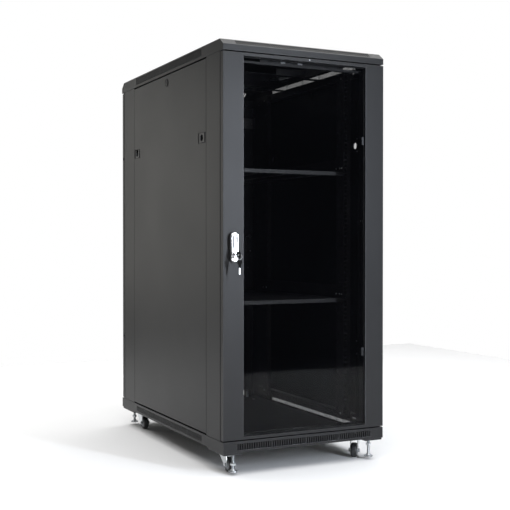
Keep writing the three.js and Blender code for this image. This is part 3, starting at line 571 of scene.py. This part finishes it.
def caster(corner):
    """A wheel with a crowned tyre, a lighter band painted along its crown as a highlight, a grey hub ring,
    axle nuts, and the rounded fork with its race.
    """
    x, y = corner_place(corner, *CASTER_AT)
    turn = Matrix.Rotation(math.radians(CASTER_TURN[corner]), 4, "Z")
    place = Matrix.Translation((x, y, 0)) @ turn @ Matrix.Translation((0, -TRAIL, AXLE_HEIGHT))
    soften(f"caster_fork_{corner}", 0.0005, [ZINC])
    half = 0.0098
    p = Piece()
    p.turned((0, 0, 0), X, [(-half, 0.0168), (-half, 0.0215), (-half + 0.0012, 0.0235), (-0.0055, 0.0249),
                            (0.0055, 0.0249), (half - 0.0012, 0.0235), (half, 0.0215), (half, 0.0168),
                            (-half, 0.0168)], 40)
    p.index = 1
    for s in (-1, 1):
        p.turned((0, 0, 0), X * s, [(half - 0.0022, 0.0052), (half - 0.0004, 0.0062), (half - 0.0004, 0.0085),
                                    (half - 0.0024, 0.0095), (half - 0.0024, 0.0145), (half - 0.0008, 0.0158),
                                    (half - 0.0008, 0.0169), (half - 0.004, 0.0169), (half - 0.004, 0.0052),
                                    (half - 0.0022, 0.0052)], 40)
    # A thin lighter ring over the crown of the tyre: a painted highlight, not a different rubber.
    p.index = 2
    p.turned((0, 0, 0), X, [(-0.0035, 0.02493), (-0.0025, 0.02499), (0.0025, 0.02499), (0.0035, 0.02493)], 40)
    wheel = p.move(place).make(f"wheel_{corner}", f"caster_wheel_{corner}", "wheel",
                               [PLASTIC, GREY_PLASTIC, TREAD_HIGHLIGHT])
    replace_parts(wheel, f"caster_wheel_{corner}")
    q = Piece()
    for s in (-1, 1):
        q.turned((0, 0, 0), X * s, [(0.0138, 0), (0.0138, 0.0062), (0.0182, 0.0062), (0.019, 0.0052),
                                    (0.019, 0)], 6)
    q.move(place).make(f"axle_nuts_{corner}", f"caster_fork_{corner}", "zinc", [ZINC])
    r = Piece()
    r.turned((x, y, 0.0592), Z, [(0, 0.0242), (0.0006, 0.0252), (0.0022, 0.0252), (0.0028, 0.0242),
                                 (0.0034, 0.0252), (0.005, 0.0252), (0.0056, 0.0242), (0, 0.0242)], 40)
    r.make(f"caster_race_{corner}", f"caster_fork_{corner}", "zinc", [ZINC])


def plate_screws(corner):
    """Four dome screws that hold a caster's corner plate to the plinth."""
    x, y = corner_place(corner, *PLATE_AT)
    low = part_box("plinth")[0].z
    way = 1 if corner.startswith("rear") else -1
    p = Piece()
    for dx in (-0.0275, 0.0275):
        for dy in (-0.056, 0.008):
            p.screw((x + dx, y + way * dy, low), -Z, 0.004, 0.0022)
    p.make(f"plate_screws_{corner}", "frame", "zinc", [ZINC])


def levelling_foot(corner, nut_low):
    """A threaded stem on a round swivel pad, with its lock nut where it was left."""
    x, y = corner_place(corner, *FOOT_AT)
    low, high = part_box(f"foot_{corner}")
    p = Piece()
    p.turned((x, y, low.z), Z, [(0.0012, 0), (0.0012, 0.0146), (0.0024, 0.015), (0.0034, 0.0146),
                                (0.0042, 0.0125), (0.0052, 0.0085), (0.0085, 0.0068), (0.0095, 0.0055),
                                (0.0095, 0)], 32)
    thread = [(0.008, 0.0)]
    z = 0.008
    while low.z + z < high.z - 0.002:
        thread += [(z, 0.0043), (z + 0.00075, 0.005), (z + 0.0015, 0.0043)]
        z += 0.0015
    thread += [(high.z - low.z, 0.0036), (high.z - low.z, 0)]
    p.turned((x, y, low.z), Z, thread, 18)
    p.turned((x, y, nut_low), Z, [(0, 0.0048), (0, 0.0082), (0.0011, 0.0093), (0.0067, 0.0093),
                                  (0.0078, 0.0082), (0.0078, 0.0048)], 6)
    p.index = 1
    p.turned((x, y, low.z), Z, [(0, 0), (0, 0.0138), (0.0014, 0.0141), (0.0014, 0)], 32)
    foot = p.make(f"levelling_foot_{corner}", f"foot_{corner}", "zinc", [ZINC, RUBBER])
    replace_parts(foot, f"foot_{corner}")


for corner, nut in (("front_right", 0.048), ("front_left", 0.03), ("rear_right", 0.03), ("rear_left", 0.03)):
    caster(corner)
    plate_screws(corner)
    levelling_foot(corner, nut)


# ---------------------------------------------------------------- swing handles, locks and keys

HANDLE_X = -0.265
SPINDLE_Z = 0.761
LOCK_Z = 0.704
PIVOT_Y = FRONT - 0.0097
TO_REAR = Matrix.Translation((0, 0.515 + FRONT, 0)) @ Matrix.Rotation(math.pi, 4, "Z")


def pill(inset, steps=12):
    """The lever's outline as (x, z), wide and round above, narrower below."""
    top, bottom = SPINDLE_Z + 0.014, SPINDLE_Z - 0.081
    wide, slim = 0.0158, 0.0135
    upper = [math.pi * i / steps for i in range(steps + 1)]
    lower = [math.pi + math.pi * i / steps for i in range(steps + 1)]
    ends = ((upper, wide, top - wide), (lower, slim, bottom + slim))
    return [(HANDLE_X + (radius - inset) * math.cos(t), middle + (radius - inset) * math.sin(t))
            for turns, radius, middle in ends for t in turns]


def lever_shell(name, body, node, with_lock, rear):
    """A polished lever: a rounded shell, dished in front and sloped behind its top so that it can lift."""
    p = Piece()
    rings = []
    back = PIVOT_Y + 0.005
    face = PIVOT_Y - 0.0065
    for inset, y in ((0.0, None), (0.0, face + 0.0042), (0.0004, face + 0.0026),
                     (0.0014, face + 0.0011), (0.0028, face + 0.0003), (0.0048, face),
                     (0.0068, face + 0.0003), (0.0085, face + 0.0008)):
        ring = []
        for x, z in pill(inset):
            depth = back - max(0.0, z - SPINDLE_Z) * 0.51 if y is None else y
            ring.append(p.bm.verts.new((x, min(depth, back), z)))
        rings.append(ring)
    count = len(rings[0])
    for low, high in zip(rings, rings[1:]):
        for i in range(count):
            p.bm.faces.new([low[i], low[(i + 1) % count], high[(i + 1) % count], high[i]])
    p.bm.faces.new(rings[-1])
    if with_lock:
        p.turned((HANDLE_X, 0, LOCK_Z), -Y, [(-face - 0.001, 0.0066), (-face + 0.0006, 0.0066),
                                             (-face + 0.001, 0.0072), (-face + 0.0008, 0.0084),
                                             (-face - 0.001, 0.009)], 28)
    if rear:
        p.move(TO_REAR)
    lever = p.make(name, body, "chrome", [CHROME], angle=50)
    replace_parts(lever, node)


def gasket(name, body, node, rear):
    """The black base plate with a rounded rim under a lever."""
    soften(node, 0.0008, [PLASTIC])
    p = Piece()
    for x in (HANDLE_X - 0.0135, HANDLE_X + 0.0135):
        p.box(about(x, 0.0006), (FRONT - 0.0045, FRONT - 0.003), (SPINDLE_Z - 0.062, SPINDLE_Z - 0.01))
    if rear:
        p.move(TO_REAR)
    p.make(name, body, "plastic", [PLASTIC], bevel=0.0003)


def eccentric(p, centre, radius, hole, hole_radius, thick, facing):
    """A disc across the facing axis with a round hole off its middle."""
    side = Y if facing == X else X
    steps = 32
    rings = []
    for s in (-1, 1):
        outer, inner = [[Vector(at) + s * thick * facing + size * (math.cos(t) * side + math.sin(t) * Z)
                         for t in circle(steps)] for at, size in ((centre, radius), (hole, hole_radius))]
        rings.append([[p.bm.verts.new(v) for v in outer], [p.bm.verts.new(v) for v in inner]])
    (ao, ai), (bo, bi) = rings
    for i in range(steps):
        j = (i + 1) % steps
        for ring in ([ao[i], ao[j], ai[j], ai[i]], [bo[i], bi[i], bi[j], bo[j]],
                     [ao[i], bo[i], bo[j], ao[j]], [ai[i], ai[j], bi[j], bi[i]]):
            p.bm.faces.new(ring).material_index = p.index


def keys():
    """Lock plug with a key in it, and its spare on a ring."""
    bow = Vector((HANDLE_X, FRONT - 0.0422, LOCK_Z))
    p = Piece()
    p.turned((HANDLE_X, 0, LOCK_Z), -Y, [(-PIVOT_Y - 0.004, 0), (-PIVOT_Y - 0.004, 0.0059),
                                         (-PIVOT_Y + 0.0068, 0.0059), (-PIVOT_Y + 0.0075, 0.0052),
                                         (-PIVOT_Y + 0.0075, 0)], 28)
    p.box(about(HANDLE_X, 0.0011), (bow.y + 0.008, PIVOT_Y - 0.007), about(LOCK_Z, 0.0038))
    p.make("key_plug", "front_key", "chrome", [CHROME], bevel=0.0002)
    q = Piece()
    eccentric(q, bow, 0.0119, bow - Y * 0.006, 0.0032, 0.0016, X)
    q.box(about(HANDLE_X, 0.0016), (bow.y + 0.0105, bow.y + 0.0165), about(LOCK_Z, 0.0055))
    made = q.make("key_bow", "front_key", "plastic", [KEY_BLACK], bevel=0.0005)
    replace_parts(made, "front_key")
    y, low = FRONT - 0.0482, LOCK_Z - 0.0264
    r = Piece()
    loop = 0.008
    r.wire([(HANDLE_X + loop * math.cos(t), y, LOCK_Z - 0.0066 + loop * math.sin(t)) for t in circle(36)],
           0.0009, True, 8)
    slimmer = 0.75
    edge = [(-0.0036, 0.0), (-0.0036, -0.0262), (0, -0.0285), (0.0036, -0.026), (0.0036, -0.022),
            (0.0022, -0.0205), (0.0036, -0.019), (0.0036, -0.0165), (0.0018, -0.015), (0.0036, -0.0135),
            (0.0036, -0.011), (0.0024, -0.0095), (0.0036, -0.008), (0.0036, 0.0)]
    top = low - 0.0075
    count = len(edge)
    points = [(HANDLE_X + slimmer * a, y + s * 0.0009, top + b) for s in (-1, 1) for a, b in edge]
    walls = [(i, (i + 1) % count, count + (i + 1) % count, count + i) for i in range(count)]
    r.faces(points, [tuple(range(count))[::-1], tuple(range(count, 2 * count)), *walls])
    r.make("spare_key_blade", "front_spare_key", "chrome", [STEEL], bevel=0.00015)
    s = Piece()
    eccentric(s, (HANDLE_X, y, low + 0.0034), 0.0085, (HANDLE_X, y, low + 0.0085), 0.0016, 0.0014, Y)
    s.box(about(HANDLE_X, 0.0036), about(y, 0.0014), (low - 0.0145, low - 0.004))
    made = s.make("spare_key_bow", "front_spare_key", "plastic", [KEY_BLACK], bevel=0.0004)
    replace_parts(made, "front_spare_key")


lever_shell("front_lever_shell", "front_lever", "front_handle_lever", True, False)
lever_shell("rear_lever_shell", "rear_lever", "rear_handle_lever", False, True)
gasket("front_handle_ribs", "front_door", "front_handle_base", False)
gasket("rear_handle_ribs", "rear_door", "rear_handle_base", True)
keys()


# ---------------------------------------------------------------- front door details

def door_details():
    """Glass seal and trim, glass clamps, rod guides and a small screw on the front door."""
    low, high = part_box("front_door_glass")
    seal = 0.0042
    p = Piece()
    y = (low.y + 0.0052, low.y + 0.0075)
    p.box((low.x, low.x + seal), y, (low.z, high.z))
    p.box((high.x - seal, high.x), y, (low.z, high.z))
    p.box((low.x + seal, high.x - seal), y, (low.z, low.z + seal))
    p.box((low.x + seal, high.x - seal), y, (high.z - seal, high.z))
    p.make("glass_seal", "front_door", "plastic", [RUBBER], bevel=0.0006)
    trim = Piece()
    for x in (low.x, high.x):
        trim.box(about(x, 0.0009), (low.y - 0.0029, low.y - 0.0002), (low.z, high.z))
    trim.make("glass_edge_trim", "front_door", "paint", [EDGE], bevel=0.0004)
    tabs = Piece()
    for hinge in ("lower", "upper"):
        middle = sum(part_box(f"front_hinge_{hinge}")[k].z for k in (0, 1)) / 2
        tabs.box((high.x - 0.011, high.x - 0.001), (low.y + 0.0051, low.y + 0.0072), about(middle, 0.0135))
    tabs.make("glass_clamps", "front_door", "zinc", [DULL_ZINC], bevel=0.0005)
    guides = Piece()
    for x, heights in ((HANDLE_X - 0.01, (0.86, 1.05, 1.27)), (HANDLE_X + 0.01, (0.19, 0.4, 0.62))):
        for z in heights:
            for side in (-1, 1):
                a, b = sorted((x + side * 0.0072, x + side * 0.0115))
                guides.box((a, b), (FRONT + 0.0019, FRONT + 0.0192), about(z, 0.009))
            guides.box(about(x, 0.0115), (FRONT + 0.0185, FRONT + 0.0198), about(z, 0.009))
    guides.make("rod_guides", "front_door", "plastic", [PLASTIC], bevel=0.0005)
    dots = Piece()
    dots.screw((0.012, FRONT, high.z + 0.006), -Y, 0.0022, 0.0008)
    dots.make("door_screws", "front_door", "zinc", [ZINC])


door_details()


def rear_lock_box():
    """The cover over the rear door's lock, on the door's inner side."""
    x, y = -HANDLE_X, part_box("rear_door_panel")[0].y
    p = Piece()
    p.box(about(x, 0.0195), (y - 0.0025, y + 0.0045), (0.704, 0.768))
    p.index = 1
    for dz in (0.708, 0.764):
        p.screw((x, y - 0.0025, dz), -Y, 0.003)
    p.make("rear_lock_cover", "rear_door", "plastic", [PLASTIC, ZINC], bevel=0.0012)


rear_lock_box()


# ---------------------------------------------------------------- side locks and latches

def side_lock(side, sx):
    """A round cam lock: a rim in the near-black of the painted shade, a bright face, and a keyway that is
    only a near-black patch of painted shade.
    """
    node = f"side_lock_{side}"
    low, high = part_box(node)
    at = (sx * SIDE, (low.y + high.y) / 2, high.z - 0.021)
    p = Piece()
    p.turned(at, X * sx, [(0.0003, 0.009), (0.0003, 0.0137), (0.001, 0.014), (0.0021, 0.0136),
                          (0.0025, 0.0125), (0.0022, 0.0112), (0.0015, 0.0105), (0.0012, 0.009)], 40)
    p.turned(at, X * sx, [(-0.0101, 0.0), (-0.0101, 0.0108), (0.0005, 0.0108), (0.0005, 0.0)], 28)
    cam = sorted((at[0] - sx * 0.0105, at[0] - sx * 0.0082))
    p.box(cam, about(at[1], 0.0065), (at[2], at[2] + 0.0205))
    p.index = 1
    p.turned(at, X * sx, [(0.0004, 0.0), (0.0004, 0.0104), (0.0017, 0.0101), (0.002, 0.0092), (0.0019, 0.005),
                          (0.0011, 0.0042), (0.0011, 0.0)], 36)
    # The keyway: a near-black patch of painted shade on the face, not a hole.
    p.index = 2
    p.box(sorted((at[0] + sx * 0.001, at[0] + sx * 0.0013)), about(at[1], 0.0007), about(at[2], 0.0034))
    lock = p.make(f"{node}_face", node, "plastic", [SHADE_BLACK, PAINT, SHADE_BLACK])
    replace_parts(lock, node)


for side, sx in (("right", 1), ("left", -1)):
    side_lock(side, sx)
    for place in ("front", "rear"):
        soften(f"side_latch_{place}_{side}", 0.0007, [PLASTIC])


# ---------------------------------------------------------------- floor, light and camera

def floor():
    mesh = bpy.data.meshes.new("floor")
    work = bmesh.new()
    bmesh.ops.create_grid(work, x_segments=8, y_segments=8, size=2.6)
    work.to_mesh(mesh)
    work.free()
    mesh.materials.append(FLOOR)
    made = bpy.data.objects.new("floor", mesh)
    bpy.context.scene.collection.objects.link(made)


def area_light(name, place, target, size, power, color=(1, 1, 1)):
    data = bpy.data.lights.new(name, "AREA")
    data.shape = "RECTANGLE"
    data.size, data.size_y = size
    data.energy = power
    data.color = color
    made = bpy.data.objects.new(name, data)
    made.location = place
    made.rotation_euler = (Vector(target) - Vector(place)).to_track_quat("-Z", "Y").to_euler()
    bpy.context.scene.collection.objects.link(made)


def studio():
    """White behind everything; the room that surfaces mirror is bright to the left rear, dark in front."""
    world = bpy.data.worlds.new("studio")
    bpy.context.scene.world = world
    world.use_nodes = True
    tree = world.node_tree
    place = tree.nodes.new("ShaderNodeTexCoord")
    toward = tree.nodes.new("ShaderNodeVectorMath")
    toward.operation = "DOT_PRODUCT"
    toward.inputs[1].default_value = Vector((-0.5, 0.75, 0.45)).normalized()
    fall = tree.nodes.new("ShaderNodeMapRange")
    fall.inputs["From Min"].default_value = -0.35
    fall.inputs["To Min"].default_value = 0.05
    fall.inputs["To Max"].default_value = 0.2
    path = tree.nodes.new("ShaderNodeLightPath")
    seen = tree.nodes.new("ShaderNodeMix")
    seen.inputs[3].default_value = 1.0
    tree.links.new(place.outputs["Generated"], toward.inputs[0])
    tree.links.new(toward.outputs["Value"], fall.inputs["Value"])
    tree.links.new(path.outputs["Is Camera Ray"], seen.inputs["Factor"])
    tree.links.new(fall.outputs["Result"], seen.inputs[2])
    tree.links.new(seen.outputs[0], tree.nodes["Background"].inputs["Strength"])
    tree.nodes["Background"].inputs["Color"].default_value = (1, 1, 1, 1)
    bpy.context.scene.view_settings.view_transform = "Standard"
    area_light("top", (0, 0, 4.6), (0, 0, 0), (8, 8), 460)
    area_light("key", (1.2, -3.4, 3.4), (-0.2, -0.4, 0.8), (1.0, 0.8), 24, (0.9, 0.94, 1))
    area_light("strip", (0.955, -3.2, 1.17), (-0.265, -0.477, 0.9), (0.19, 1.35), 66, (0.84, 0.9, 1))
    area_light("low", (-0.35, -3.0, 0.3), (0, 0, 1.33), (0.25, 0.25), 9)
    area_light("side", (-1.5, 2.6, 1.1), (-0.3, 0.4, 0.7), (0.7, 1.6), 7, (1, 0.98, 0.92))


def camera():
    data = bpy.data.cameras.new("camera")
    data.lens = 67.6
    data.sensor_width = 36
    made = bpy.data.objects.new("camera", data)
    made.location = (-1.540, -3.224, 0.741)
    heading, pitch = math.radians(26.2), math.radians(-0.72)
    level = math.cos(pitch)
    ahead = Vector((math.sin(heading) * level, math.cos(heading) * level, math.sin(pitch)))
    made.rotation_euler = ahead.to_track_quat("-Z", "Y").to_euler()
    bpy.context.scene.collection.objects.link(made)
    bpy.context.scene.camera = made


floor()
studio()
camera()
